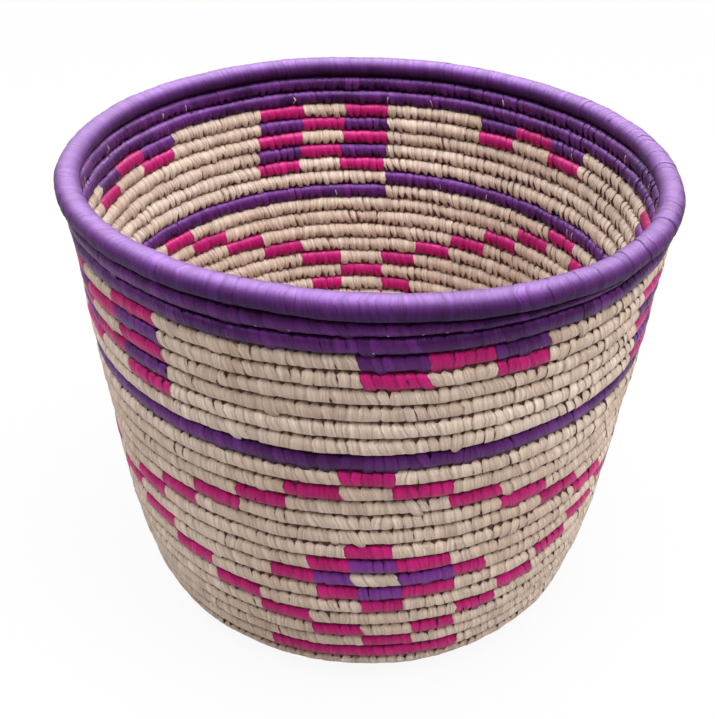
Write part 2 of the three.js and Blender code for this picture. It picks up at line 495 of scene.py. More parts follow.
# %% Fibre group
FINE = 2.0  # detail of the noise for fibres, patches and grass
STRAND_SHIFT, STRAND_APART = 71.3, 37.7  # how far apart the fibres of two strips lie in the noise
FOLD_SCALE = 0.38  # the leaf is folded along its fibres, a few folds in a strip
FOLD_SHARE = 0.6
# Painted shade: the edge mask darkens the strip's edges, and the groove mask the top and foot of its row.
EDGE_FULL = 0.86  # the edge mask is full from here, as a share of the half width
TOP_GROOVE = ((0.37, 0.47), (0.57, 0.51))  # along the strip, outside and inside: the dark top starts, is full
LOW_GROOVE_FULL = 0.45  # and the dark foot is full, counted from the top
PATCH_SCALE = 16.0  # patches of paler and darker leaf, in one metre
FLECKS = 0.05  # share of the dyed strips beside which a thread of undyed leaf shows
FLECK_WIDTH = 0.14  # of the strip, at one of its edges
FLECK_PLACES = ((0.1, 0.17), (0.68, 0.88))  # where along the strip: low outside and low inside
FLECK_APART = 5.0  # takes the chance of a fleck from another place than the strip's tone


def fibre_noise(tree, given, across, along, strand):
    """Fine fibres along the strip and a few broader folds, different on each strip."""
    across = maths(tree, "MULTIPLY", across, given["Fibres"])
    across = maths(tree, "ADD", across, maths(tree, "MULTIPLY", strand, STRAND_SHIFT))
    along = maths(tree, "MULTIPLY", along, given["Run"])
    place = combine(tree, across, along, maths(tree, "MULTIPLY", strand, STRAND_APART))
    fine = noise(tree, place, 1.0, FINE)["Fac"]
    fold = noise(tree, place, FOLD_SCALE)["Fac"]
    return add(tree, "ShaderNodeMix", {"Factor": FOLD_SHARE, 2: fine, 3: fold}).outputs[0]


def groove_shade_mask(tree, given, along):
    """1 where shade is painted: where the strip dives between rows, over the top of its own row and at the
    foot.
    """
    outside, inside = [span(tree, along, start, full) for start, full in TOP_GROOVE]
    top = maths(tree, "MULTIPLY", maths(tree, "MINIMUM", outside, inside), given["Top groove"])
    off_top = maths(tree, "ABSOLUTE", maths(tree, "SUBTRACT", along, 0.5))
    return maths(tree, "MAXIMUM", top, span(tree, off_top, given["Groove start"], LOW_GROOVE_FULL))


def fleck_mask(tree, across, along, strand):
    """1 on a thread of undyed leaf at the edge of a few strips."""
    chosen = white_noise(tree, maths(tree, "ADD", strand, FLECK_APART))
    chosen = maths(tree, "GREATER_THAN", chosen, 1.0 - FLECKS)
    fleck = maths(tree, "MULTIPLY", maths(tree, "LESS_THAN", across, FLECK_WIDTH), chosen)
    found = [within(tree, along, low, high) for low, high in FLECK_PLACES]
    return maths(tree, "MULTIPLY", fleck, maths(tree, "MAXIMUM", *found))


def fibre_group():
    """What all the leaf finishes share, from the strip's own map and its own number, strand."""
    tree = bpy.data.node_groups.new("leaf_fibres", "ShaderNodeTree")
    for name in ("Fibres", "Run", "Edge start", "Groove start", "Top groove"):
        tree.interface.new_socket(name, in_out="INPUT", socket_type="NodeSocketFloat")
    for name in ("Fibre", "Tone", "Edge", "Groove", "Patch", "Fleck"):
        tree.interface.new_socket(name, in_out="OUTPUT", socket_type="NodeSocketFloat")
    given = add(tree, "NodeGroupInput").outputs
    strip_map = parts(tree, add(tree, "ShaderNodeUVMap", uv_map="strip").outputs[0])
    across, along = strip_map[0], strip_map[1]
    strand = attribute(tree, "strand")
    off_middle = maths(tree, "ABSOLUTE", maths(tree, "SUBTRACT", across, 0.5))
    results = {
        "Fibre": fibre_noise(tree, given, across, along, strand),
        "Tone": maths(tree, "ADD", white_noise(tree, strand), attribute(tree, "row_tone")),
        "Edge": span(tree, maths(tree, "MULTIPLY", off_middle, 2.0), given["Edge start"], EDGE_FULL),
        "Groove": groove_shade_mask(tree, given, along),
        "Patch": noise(tree, own_place(tree), PATCH_SCALE, FINE)["Fac"],
        "Fleck": fleck_mask(tree, across, along, strand),
    }
    add(tree, "NodeGroupOutput", results)
    return tree


FIBRES = fibre_group()
print("fibre group:", len(FIBRES.nodes), "nodes")

# %% A leaf finish
NOISE_RANGE = (0.3, 0.7)  # most of a noise lies between these
FIBRE_RUN = 2.5  # how often the fibres change along a strip
# EDGE_START and CREASED set where and how much shade is painted at a strip's edges.
EDGE_START = 0.62  # where the edge mask starts, as a share of the half width
OWN_TONE = 0.5  # how much of a strip's tone is its own; the rest comes in larger patches
PALER_LOW_HEIGHTS = (0.09, 0.13)  # the purple leaf lower than this is paler
STREAK = (0.35, 0.65, 0.74, 1.17)  # from a range of the fibre noise to how dark and bright the leaf is
CREASED = (0.2, 0.9)  # up to the first tone a strip's edges don't show, from the last they show fully
ROUGHNESS_SWING = 0.08
FIBRE_DEPTH = 0.0012  # metres
UNDYED = srgb(205, 185, 172)


def leaf_tone(tree, leaf, low_tone):
    """Where a strip lies between its dark and its light colour."""
    patch = span(tree, leaf["Patch"], *NOISE_RANGE)
    tone = maths(tree, "MULTIPLY", leaf["Tone"], OWN_TONE)
    tone = maths(tree, "ADD", tone, maths(tree, "MULTIPLY", patch, 1.0 - OWN_TONE))
    if low_tone:
        up_the_wall = parts(tree, own_place(tree))[2]
        tone = maths(tree, "ADD", tone, span(tree, up_the_wall, *PALER_LOW_HEIGHTS, low_tone, 0.0))
    return tone


def leaf_material(
    name,
    dark,
    light,
    groove,
    fibres,
    roughness,
    bump,
    groove_shade_share,
    edge_shade_share,
    gloss,
    tint=WHITE,
    flecks=0.0,
    low_tone=0.0,
    groove_shade_start=0.33,
    top_groove_shade=1.0,
):
    """A leaf finish: each strip between two tones, streaked by its fibres, with shade painted at its edges
    and grooves.
    """
    material, tree, shader = new_material(name)
    values = {
        "Fibres": fibres,
        "Run": FIBRE_RUN,
        "Edge start": EDGE_START,
        "Groove start": groove_shade_start,
        "Top groove": top_groove_shade,
    }
    leaf = add(tree, "ShaderNodeGroup", values, node_tree=FIBRES).outputs
    colour = mix_colour(tree, leaf_tone(tree, leaf, low_tone), dark, light)
    streak = span(tree, leaf["Fibre"], *STREAK)
    colour = mix_colour(tree, 1.0, colour, combine(tree, streak, streak, streak), "MULTIPLY")
    # Painted shade: the strip's edges and the grooves of its row go over to the groove colour.
    painted_shade = maths(tree, "MULTIPLY", span(tree, leaf["Tone"], *CREASED, 0.0, edge_shade_share), leaf["Edge"])
    painted_shade = maths(tree, "MAXIMUM", painted_shade, maths(tree, "MULTIPLY", leaf["Groove"], groove_shade_share))
    colour = mix_colour(tree, painted_shade, colour, groove)
    if flecks:
        colour = mix_colour(tree, maths(tree, "MULTIPLY", leaf["Fleck"], flecks), colour, UNDYED)
    roughest, smoothest = roughness + ROUGHNESS_SWING, roughness - ROUGHNESS_SWING
    rough = span(tree, leaf["Fibre"], *NOISE_RANGE, roughest, smoothest)
    raised = {"Height": leaf["Fibre"], "Strength": bump, "Distance": FIBRE_DEPTH}
    tree.links.new(colour, shader.inputs["Base Color"])
    tree.links.new(rough, shader.inputs["Roughness"])
    tree.links.new(add(tree, "ShaderNodeBump", raised).outputs[0], shader.inputs["Normal"])
    shader.inputs["Specular IOR Level"].default_value = gloss
    shader.inputs["Specular Tint"].default_value = tint
    return material


# %% [markdown]
# ## Natural, pink, purple and rim leaf
# The four finishes are the same leaf with other values. The natural leaf is nearly without gloss. Pink lies
# even and clear. Purple is the most uneven: some strips took much dye and some little, shade is painted
# almost black in its grooves, and it is paler low on the wall. On the rim nothing lies over the strips, so no
# shade is painted over their top, and it is painted early towards the foot, where the rim rounds under.

# %% Leaf and dyed leaf
# In each finish, groove is the colour of the shade painted at the strips' edges and in the grooves between
# rows.
natural_leaf = leaf_material(
    "natural_leaf",
    dark=srgb(184, 158, 140),
    light=srgb(216, 197, 181),
    groove=srgb(112, 70, 60),
    fibres=10.0,
    roughness=0.75,
    bump=0.8,
    groove_shade_share=0.46,
    edge_shade_share=0.3,
    gloss=0.17,
)
pink_leaf = leaf_material(
    "pink_leaf",
    dark=srgb(153, 18, 86),
    light=srgb(190, 32, 113),
    groove=srgb(80, 4, 38),
    fibres=9.0,
    roughness=0.45,
    bump=0.5,
    groove_shade_share=0.7,
    edge_shade_share=0.45,
    gloss=0.25,
    tint=srgb(255, 150, 210),
)
purple_leaf = leaf_material(
    "purple_leaf",
    dark=srgb(50, 10, 57),
    light=srgb(112, 46, 128),
    groove=srgb(24, 2, 26),
    fibres=9.0,
    roughness=0.48,
    bump=0.6,
    groove_shade_share=0.9,
    edge_shade_share=0.7,
    gloss=0.34,
    tint=srgb(192, 156, 240),
    flecks=0.8,
    low_tone=0.7,
)
rim_leaf = leaf_material(
    "rim_leaf",
    dark=srgb(56, 16, 67),
    light=srgb(88, 37, 108),
    groove=srgb(26, 4, 32),
    fibres=9.0,
    roughness=0.6,
    bump=0.4,
    groove_shade_share=0.95,
    edge_shade_share=0.6,
    gloss=0.3,
    tint=srgb(190, 156, 236),
    # On the rim, shade is painted over its lower half, outside and inside, and none over its top.
    groove_shade_start=0.14,
    top_groove_shade=0.0,
)
print("leaf finishes:", [leaf.name for leaf in (natural_leaf, pink_leaf, purple_leaf, rim_leaf)])

# %% Grass core
GRASS_SCALE = 600.0
GRASS_DARK, GRASS_LIGHT = srgb(92, 54, 50), srgb(146, 102, 90)
GRASS_UNDER_PURPLE = srgb(44, 8, 46)


def core_material():
    """Dry grass in the shade between the strips, going over to a dark purple where the strips over it are
    purple.
    """
    material, tree, shader = new_material("grass_core")
    grass = noise(tree, own_place(tree), GRASS_SCALE, FINE)["Fac"]
    colour = mix_colour(tree, grass, GRASS_DARK, GRASS_LIGHT)
    colour = mix_colour(tree, attribute(tree, "core_dye"), colour, GRASS_UNDER_PURPLE)
    tree.links.new(colour, shader.inputs["Base Color"])
    shader.inputs["Roughness"].default_value = MATT
    return material


grass_core = core_material()
print("core finish:", grass_core.name)

# %% [markdown]
# ## Binding a round
# Geometry Nodes lay the strips, because thousands of them follow one path by one rule. The tree gets one
# round of the path as a line of points that carry the directions and half sizes. It sets the strips out along
# a straight line first, picks the natural or the dyed strip by the pattern, and gives each its own width,
# lean and tone. Strips are moved a little along the line so that one ends wherever a block of dye ends.


# %% Helpers for the binding tree
# One number for each random value of a strip, so that no two values go together
STRAND, LEANING, WIDTH, SWELL, LOOSE, PINCH, REACH, CROWN = range(1, 9)


def named(tree, name, kind="FLOAT"):
    return add(tree, "GeometryNodeInputNamedAttribute", {"Name": name}, data_type=kind).outputs[0]


def position(tree):
    return add(tree, "GeometryNodeInputPosition").outputs[0]


def on_path(tree, path, length, name, kind="FLOAT"):
    """The value of one of the path's own attributes at a length along it."""
    links = {"Curves": path, "Value": named(tree, name, kind), "Length": length}
    return add(tree, "GeometryNodeSampleCurve", links, mode="LENGTH", data_type=kind).outputs["Value"]


def random_value(tree, given, low, high, salt):
    links = {2: low, 3: high, "Seed": maths(tree, "ADD", given["Seed"], salt)}
    return add(tree, "FunctionNodeRandomValue", links, data_type="FLOAT").outputs[1]


def keep(tree, geometry, name, value):
    """Keeps a value on each point, under a name."""
    links = {"Geometry": geometry, "Name": name, "Value": value}
    return add(tree, "GeometryNodeStoreNamedAttribute", links, data_type="FLOAT", domain="POINT").outputs[0]


def finished(tree, geometry, material, chosen=True):
    links = {"Geometry": geometry, "Selection": chosen, "Material": material}
    return add(tree, "GeometryNodeSetMaterial", links).outputs[0]


def laid_length(tree, given, length):
    """The length of path that the binding covers, without the spare path at both ends."""
    return maths(tree, "SUBTRACT", length, maths(tree, "MULTIPLY", given["Margin"], 2.0))


# %% Set out the strips
LEAN_SCALE = 28.0  # how often the lean of the strips changes, in one metre
LEAN = (-1.7, 0.1)  # most strips lean one way
LEAN_SWING = (-0.45, 0.45)  # and each a little more or less
LEAN_REACH = 0.0011  # how far a lean of 1 moves the top and the foot of a strip, in metres
ROUND_APART = 3.7  # the lean of one round has nothing to do with that of the next
LOOSE_ABOVE = (0.93, 0.72)  # a strip whose chance is above this hangs loose: natural and dyed
SHORTEST_TOOTH = 0.1
LONGEST_TOOTH = (1.1, 1.0)  # natural and dyed
FLATTEST, ROUNDEST = 0.5, 2.3  # most strips lie nearly flush and a few stand out, as shares of the rounding


def strip_places(tree, given, path, pitch):
    """A point for each strip along a straight line, moved so that strips end where blocks do."""
    first = maths(tree, "ADD", given["Margin"], maths(tree, "MULTIPLY", pitch, 0.5))
    links = {"Count": given["Strips"], "Start Location": combine(tree, first)}
    links["Offset"] = combine(tree, pitch)
    points = add(tree, "GeometryNodeMeshLine", links, mode="OFFSET").outputs[0]
    here = parts(tree, position(tree))[0]
    links = {"Geometry": points, "Offset": combine(tree, on_path(tree, path, here, "shift"))}
    points = add(tree, "GeometryNodeSetPosition", links).outputs[0]
    for name in (PINK, PURPLE, "row_tone"):
        points = keep(tree, points, name, on_path(tree, path, here, name))
    return keep(tree, points, "strand", random_value(tree, given, 0.0, 1.0, STRAND))


def strip_ways(tree, given, points, either):
    """How a strip differs from the next: its lean, its loose end, its tooth and how round it lies."""
    here = parts(tree, position(tree))[0]
    drawn = maths(tree, "ADD", here, maths(tree, "MULTIPLY", given["Seed"], ROUND_APART))
    links = {"W": drawn, "Scale": LEAN_SCALE, "Detail": 1.0}
    lean = add(tree, "ShaderNodeTexNoise", links, noise_dimensions="1D").outputs["Fac"]
    lean = span(tree, lean, *NOISE_RANGE, *LEAN)
    lean = maths(tree, "ADD", lean, random_value(tree, given, *LEAN_SWING, LEANING))
    sway = maths(tree, "MULTIPLY", given["Unevenness"], LEAN_REACH)
    points = keep(tree, points, "lean", maths(tree, "MULTIPLY", lean, sway))
    rarest = span(tree, either, 0.0, 1.0, *LOOSE_ABOVE)
    loose = span(tree, random_value(tree, given, 0.0, 1.0, LOOSE), rarest, 1.0)
    points = keep(tree, points, "loose", maths(tree, "MULTIPLY", loose, given["Loose ends"]))
    longest = span(tree, either, 0.0, 1.0, *LONGEST_TOOTH)
    reach = random_value(tree, given, SHORTEST_TOOTH, longest, REACH)
    points = keep(tree, points, "reach", maths(tree, "MULTIPLY", reach, given["Teeth"]))
    crown = maths(tree, "POWER", random_value(tree, given, 0.0, 1.0, CROWN), 2.0)
    return keep(tree, points, "crown", span(tree, crown, 0.0, 1.0, FLATTEST, ROUNDEST))


# %% Lay the strips
WIDTH_SWING = (-0.24, 0.24)  # as shares of the pitch
SWELL_SWING = (-0.035, 0.035)  # as shares of the section
PINCH_RANGE = (0.5, 1.4)  # how deep the notches are, as shares of the usual
DYED_SHARE = 0.7  # dyed strips are this uneven, against the natural ones


def lay_strips(tree, given, path, points, pitch, either):
    """A natural or a dyed strip on each point, at its own width."""
    is_dyed = maths(tree, "GREATER_THAN", either, 0.5)
    natural = maths(tree, "SUBTRACT", 1.0, is_dyed)
    kinds = (
        ("Natural strip", natural, "Overlap", "Notch", 1.0),
        ("Dyed strip", is_dyed, "Dyed overlap", "Dyed notch", DYED_SHARE),
    )
    here = parts(tree, position(tree))[0]
    stretched = maths(tree, "MULTIPLY", on_path(tree, path, here, "stretch"), pitch)
    both = add(tree, "GeometryNodeJoinGeometry")
    for strip, chosen, overlap, notch, share in kinds:
        uneven = maths(tree, "MULTIPLY", given["Unevenness"], share)
        wide = maths(tree, "MULTIPLY", random_value(tree, given, *WIDTH_SWING, WIDTH), uneven)
        wide = maths(tree, "MULTIPLY", maths(tree, "ADD", given[overlap], wide), stretched)
        swell = maths(tree, "MULTIPLY", random_value(tree, given, *SWELL_SWING, SWELL), uneven)
        swell = maths(tree, "ADD", swell, 1.0)
        pinch = maths(tree, "MULTIPLY", given[notch], random_value(tree, given, *PINCH_RANGE, PINCH))
        pinched = keep(tree, points, "pinch", maths(tree, "MULTIPLY", pinch, wide))
        shape = add(tree, "GeometryNodeObjectInfo", {0: given[strip]}).outputs["Geometry"]
        links = {"Points": pinched, "Selection": chosen, "Instance": shape}
        links["Scale"] = combine(tree, wide, swell, swell)
        laid = add(tree, "GeometryNodeInstanceOnPoints", links).outputs[0]
        tree.links.new(laid, both.inputs[0])
    return add(tree, "GeometryNodeRealizeInstances", {0: both.outputs[0]}).outputs[0]


def set_out_strips(tree, given, path, length):
    """The strips side by side along a straight line, each with its own dye, width and finish."""
    pitch = maths(tree, "DIVIDE", laid_length(tree, given, length), given["Strips"])
    either = maths(tree, "MAXIMUM", named(tree, PINK), named(tree, PURPLE))
    points = strip_ways(tree, given, strip_places(tree, given, path, pitch), either)
    strips = lay_strips(tree, given, path, points, pitch, either)
    strips = finished(tree, strips, given["Natural leaf"])
    for dye, leaf in ((PINK, "Pink leaf"), (PURPLE, "Purple leaf")):
        has_dye = maths(tree, "GREATER_THAN", named(tree, dye), 0.5)
        strips = finished(tree, strips, given[leaf], has_dye)
    return strips


# %% [markdown]
# ## The grass bundle
# Between the strips the bundle itself shows as dark slits. It is a plain tube a little smaller than the
# binding, drawn to a ridge at its top and foot, where it fills the notches and meets the next round.

# %% Core tube
CORE_SIDES = 14
CORE_STEPS = 120
CORE_OUT = 0.74  # the bundle under the strips, as a share of the section
CORE_PEAK = 1.5  # 1 is round; more draws the bundle to a ridge where it presses on the next round
OVER_MIDDLE = (-0.001, 0.001)  # one half of the section goes over to the other between these


def peaked(tree, value):
    size = maths(tree, "POWER", maths(tree, "ABSOLUTE", value), CORE_PEAK)
    return maths(tree, "MULTIPLY", size, maths(tree, "SIGN", value))


def core_tube(tree, given, path, length):
    """The grass bundle under the strips, straight, closed at both ends."""
    laid = laid_length(tree, given, length)
    links = {"Vertices": CORE_SIDES, "Side Segments": CORE_STEPS, "Radius": 1.0, "Depth": laid}
    tube = add(tree, "GeometryNodeMeshCylinder", links, fill_type="NGON").outputs["Mesh"]
    place = parts(tree, position(tree))
    along = maths(tree, "ADD", place[2], maths(tree, "MULTIPLY", length, 0.5))
    depth = span(tree, place[0], *OVER_MIDDLE, given["Core inside"], 1.0)
    out = maths(tree, "MULTIPLY", peaked(tree, place[0]), maths(tree, "MULTIPLY", depth, CORE_OUT))
    height = span(tree, place[1], *OVER_MIDDLE, given["Core foot"], given["Core height"])
    up = maths(tree, "MULTIPLY", peaked(tree, place[1]), height)
    links = {"Geometry": tube, "Position": combine(tree, along, out, up)}
    tube = add(tree, "GeometryNodeSetPosition", links).outputs[0]
    here = parts(tree, position(tree))[0]
    tube = keep(tree, tube, "core_dye", on_path(tree, path, here, PURPLE))
    tube = add(tree, "GeometryNodeSetShadeSmooth", {"Geometry": tube}).outputs[0]
    return finished(tree, tube, given["Grass core"])


# %% [markdown]
# ## Bending the binding to the path
# The straight binding is now bent: a place at x along the line goes to the point at that length along the
# path, and y and z follow the path's own out and up. Bending after setting out keeps the strips fanned
# properly, even at the tight start of the floor. On the way each strip gets its notch, tooth, tail, lean and
# wandering edges, and the whole coil swells and wobbles a little, as hand-wound work does.

# %% Bend along the path
WOBBLE_SCALE = 24.0  # swells per metre in the hand-wound wall
BULGE_SCALE = 70.0  # and in the thickness of the coil
FRAY_SCALE = 2.2  # how fast the edges of a strip wander, in half sizes of the coil
FRAY_SHIFT = 0.4  # and how much of that moves the whole strip and not only its width
FRAY_APART = 90.0  # no two strips wander alike
LEAN_TURN = 2.0  # the lean outside goes over to the one inside within half of the section
NOISE_MIDDLE = (0.5, 0.5, 0.5)
LOWEST = (-10.0, -10.0, 0.0)  # nothing goes below the surface that the basket stands on


def centred_noise(tree, place, scale):
    """A noise in three directions, about as much one way as the other."""
    return vector_maths(tree, "SUBTRACT", noise(tree, place, scale)["Color"], NOISE_MIDDLE)


def shaped_place(tree):
    """A place on a strip, with the strip's loose end, tooth and sunk edges put on."""
    spot = position(tree)
    for change, share in (("tail", "loose"), ("tooth", "reach"), ("sink", "crown")):
        moved = vector_maths(tree, "SCALE", named(tree, change, "FLOAT_VECTOR"), named(tree, share))
        spot = vector_maths(tree, "ADD", spot, moved)
    return parts(tree, spot)


def length_along(tree, given, place):
    """How far along the path a place goes, with the strip's lean, notches and wandering edges."""
    side = maths(tree, "MULTIPLY", place[1], LEAN_TURN)
    side = add(tree, "ShaderNodeClamp", {0: side, 1: -1.0, 2: 1.0}).outputs[0]
    lean = maths(tree, "MULTIPLY", maths(tree, "MULTIPLY", place[2], side), named(tree, "lean"))
    drawn = maths(tree, "MULTIPLY", named(tree, "draw"), named(tree, "pinch"))
    apart = maths(tree, "MULTIPLY", named(tree, "strand"), FRAY_APART)
    fray = centred_noise(tree, combine(tree, place[1], place[2], apart), FRAY_SCALE)
    fray = parts(tree, fray)
    wander = maths(tree, "MULTIPLY", fray[0], named(tree, "side"))
    wander = maths(tree, "ADD", wander, maths(tree, "MULTIPLY", fray[1], FRAY_SHIFT))
    wander = maths(tree, "MULTIPLY", wander, given["Fray"])
    return maths(tree, "ADD", maths(tree, "ADD", place[0], drawn), maths(tree, "ADD", lean, wander))


def bend_along(tree, given, path, geometry):
    """Takes the straight, unit-sized binding to the path, and lets it wobble a little."""
    place = shaped_place(tree)
    length = length_along(tree, given, place)
    sample = add(tree, "GeometryNodeSampleCurve", {"Curves": path, "Length": length}, mode="LENGTH")
    middle = sample.outputs["Position"]
    out = on_path(tree, path, length, "out", "FLOAT_VECTOR")
    up = on_path(tree, path, length, "along", "FLOAT_VECTOR")
    bulge = maths(tree, "SUBTRACT", noise(tree, middle, BULGE_SCALE)["Fac"], 0.5)
    bulge = maths(tree, "ADD", maths(tree, "MULTIPLY", bulge, given["Bulge"]), 1.0)
    wide = maths(tree, "MULTIPLY", on_path(tree, path, length, "half_width"), bulge)
    reach = maths(tree, "MULTIPLY", place[1], wide)
    rise = maths(tree, "MULTIPLY", place[2], on_path(tree, path, length, "half_thickness"))
    wobble = vector_maths(tree, "SCALE", centred_noise(tree, middle, WOBBLE_SCALE), given["Wobble"])
    spot = vector_maths(tree, "ADD", middle, vector_maths(tree, "SCALE", out, reach))
    spot = vector_maths(tree, "ADD", spot, vector_maths(tree, "SCALE", up, rise))
    spot = vector_maths(tree, "ADD", spot, wobble)
    on_ground = vector_maths(tree, "MAXIMUM", spot, LOWEST)
    bent = add(tree, "GeometryNodeSetPosition", {"Geometry": geometry, "Position": on_ground}).outputs[0]
    return add(tree, "GeometryNodeFlipFaces", {0: bent}).outputs[0]


# %% The whole tree
INPUTS = {
    "NodeSocketGeometry": ("Path",),
    "NodeSocketInt": ("Strips", "Seed"),
    "NodeSocketFloat": (
        "Margin", "Overlap", "Dyed overlap", "Notch", "Dyed notch", "Unevenness", "Loose ends", "Teeth",
        "Fray", "Wobble", "Bulge", "Core height", "Core foot", "Core inside",
    ),
    "NodeSocketObject": ("Natural strip", "Dyed strip"),
    "NodeSocketMaterial": ("Natural leaf", "Pink leaf", "Purple leaf", "Grass core"),
}


def binding_tree():
    """Grass core and strips on one round of the path."""
    tree = bpy.data.node_groups.new("bound_coil", "GeometryNodeTree")
    for kind, names in INPUTS.items():
        for name in names:
            tree.interface.new_socket(name, in_out="INPUT", socket_type=kind)
    tree.interface.new_socket("Bound coil", in_out="OUTPUT", socket_type="NodeSocketGeometry")
    given = add(tree, "NodeGroupInput").outputs
    path = add(tree, "GeometryNodeMeshToCurve", {0: given["Path"]}).outputs[0]
    length = add(tree, "GeometryNodeCurveLength", {0: path}).outputs[0]
    strips = set_out_strips(tree, given, path, length)
    core = core_tube(tree, given, path, length)
    both = add(tree, "GeometryNodeJoinGeometry")
    tree.links.new(core, both.inputs[0])
    tree.links.new(strips, both.inputs[0])
    add(tree, "NodeGroupOutput", {0: bend_along(tree, given, path, both.outputs[0])})
    return tree


BINDING = binding_tree()
print("binding tree:", len(BINDING.nodes), "nodes")

# %% One round of path
PATH_POINTS = 400  # in a round
MARGIN = 0.008  # spare path at both ends of a round, for strips that lean over the end


def even_strips(shares, ends, length, pitch):
    """Whole strips between the places where the dye changes: how many, and how far each moves along.

    Strips are set out evenly at first, and then shifted and stretched so that one ends at every change.
    """
    places = np.array([0.0, *ends, 1.0])
    counts = np.maximum(np.round(np.diff(places) * length / pitch), 1)
    even = np.concatenate([[0.0], np.cumsum(counts)]) / counts.sum()
    shift = (np.interp(shares, even, places) - shares.clip(0, 1)) * length
    part = np.searchsorted(places, shares).clip(1, len(counts)) - 1
    return int(counts.sum()), shift, (np.diff(places) / np.diff(even))[part]


def path_of(name, winding, first, last, painted, pitch, ends=(), push=0.0, fatness=1.0, tone=0.0):
    """A line of points along one round, with the directions, half sizes and dyes of the binding."""
    midway = winding.at(np.array([(first + last) / 2]))[0][0]
    radius = math.hypot(midway[0], midway[1])
    spare = MARGIN / (FULL_TURN * radius)
    turns = np.linspace(first - spare, last + spare, PATH_POINTS)
    points, up, out, halves = winding.at(turns)
    points = points + out * push
    halves = halves * (1, fatness)
    length = np.linalg.norm(np.diff(points, axis=0), axis=1).sum() - 2 * MARGIN
    shares = (turns - first) / (last - first)
    strips, shift, stretch = even_strips(shares, ends, length, pitch)
    pink, purple = painted(turns)
    numbers = {
        "half_thickness": halves[:, 0],
        "half_width": halves[:, 1],
        "row_tone": np.full(PATH_POINTS, tone),
        "shift": shift,
        "stretch": stretch,
        PINK: pink,
        PURPLE: purple,
    }
    mesh = bpy.data.meshes.new(name)
    mesh.from_pydata(points.tolist(), [(i, i + 1) for i in range(PATH_POINTS - 1)], [])
    for word, values in (("along", up), ("out", out)):
        mesh.attributes.new(word, "FLOAT_VECTOR", "POINT").data.foreach_set("vector", values.ravel())
    for word, values in numbers.items():
        mesh.attributes.new(word, "FLOAT", "POINT").data.foreach_set("value", values)
    path = bpy.data.objects.new(name, mesh)
    bpy.context.scene.collection.objects.link(path)
    return path, strips


# %% From a path to a finished piece
# What only the laying out needs, and a finished piece doesn't keep
LAYING_OUT = (
    PINK, PURPLE, "lean", "loose", "tail", "reach", "tooth",
    "pinch", "draw", "crown", "sink", "side",
)


def bind(path, values):
    """Runs the binding tree on a path and gives back the result as a plain mesh."""
    modifier = path.modifiers.new("binding", "NODES")
    modifier.node_group = BINDING
    for socket in BINDING.interface.items_tree:
        if socket.name in values:
            modifier[socket.identifier] = values[socket.name]
    evaluated = path.evaluated_get(bpy.context.evaluated_depsgraph_get())
    mesh = bpy.data.meshes.new_from_object(evaluated)
    old = path.data
    path.modifiers.remove(modifier)
    bpy.data.objects.remove(path)
    bpy.data.meshes.remove(old)
    for word in LAYING_OUT:
        if word in mesh.attributes:
            mesh.attributes.remove(mesh.attributes[word])
    return mesh


def piece(name, mesh, node):
    """A finished piece at the origin, standing for a node of the frame."""
    mesh.name = name
    thing = bpy.data.objects.new(name, mesh)
    bpy.context.scene.collection.objects.link(thing)
    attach(thing, "root")
    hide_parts(node)


# %% [markdown]
# ## The rounds
# Every round of the frame gets its own binding, so that each piece stands for one node. The strips lie 4.4 mm
# apart all the way, so a round at the foot has fewer of them than one at the top. The seed changes from
# round to round, otherwise the same uneven strips would line up as stripes. One row also differs from the
# next as a whole: the maker takes new grass and a new batch of leaf, so a row lies a little further out or
# in, is thicker or thinner, and paler or darker.
# The two rows under the rim are darkened as painted shade.

# %% Bind the coil
STRIP_PITCH = 0.0044  # from the middle of one strip to the next
common = {
    "Margin": MARGIN,
    "Overlap": 1.16,
    "Dyed overlap": 1.18,
    "Notch": 0.54,
    "Dyed notch": 0.45,
    "Unevenness": 1.0,
    "Loose ends": 1.0,
    "Teeth": 1.0,
    "Fray": 0.0042,
    "Wobble": 0.0018,
    "Bulge": 0.16,
    "Core height": 1.08,
    "Core foot": 1.08,
    "Core inside": INSIDE[0],
    "Natural strip": natural_strip,
    "Dyed strip": dyed_strip,
    "Natural leaf": natural_leaf,
    "Pink leaf": pink_leaf,
    "Purple leaf": purple_leaf,
    "Grass core": grass_core,
}
ROW_PUSH, ROW_FATNESS, ROW_TONE = 0.0003, 0.05, 0.15  # how much one row differs from the next
RIM_SHADE_AND_BATCHES = {2: -0.4, 3: -0.4, 8: 0.8, 9: 0.5}  # rows 2 and 3 darker as painted shade under the rim, rows 8 and 9 from a paler batch of leaf
ROW_SEED = 7
chance = np.random.default_rng(ROW_SEED)
total = 0
for number, node in enumerate(COIL_ROUNDS):
    first = number if number else COIL_START
    last = min(number + 1, coil.turns[-1])
    push, fatness, tone = chance.uniform(-1, 1, 3) * (ROW_PUSH, ROW_FATNESS, ROW_TONE) + (0, 1, 0)
    tone += RIM_SHADE_AND_BATCHES.get(TOP_ROW - number, 0)
    ends = [share / (last - number) for share in block_ends(number) if number + share < last]
    path, strips = path_of(
        node + "_path", coil, first, last, pattern, STRIP_PITCH, ends, push, fatness, tone
    )
    mesh = bind(path, {**common, "Strips": strips, "Seed": number})
    piece("bound_" + node, mesh, node)
    total += strips
print(total, "strips on the coil")

# %% [markdown]
# ## The rim
# The rim is a thicker coil bound closely in purple. Its strips are wide and smooth and lie nearly flush, so
# it catches the light along its top like a tube, with only a few creases where strips part. It goes through
# the same tree with calmer values: no notches, teeth or loose ends, and a core that fills the foot.

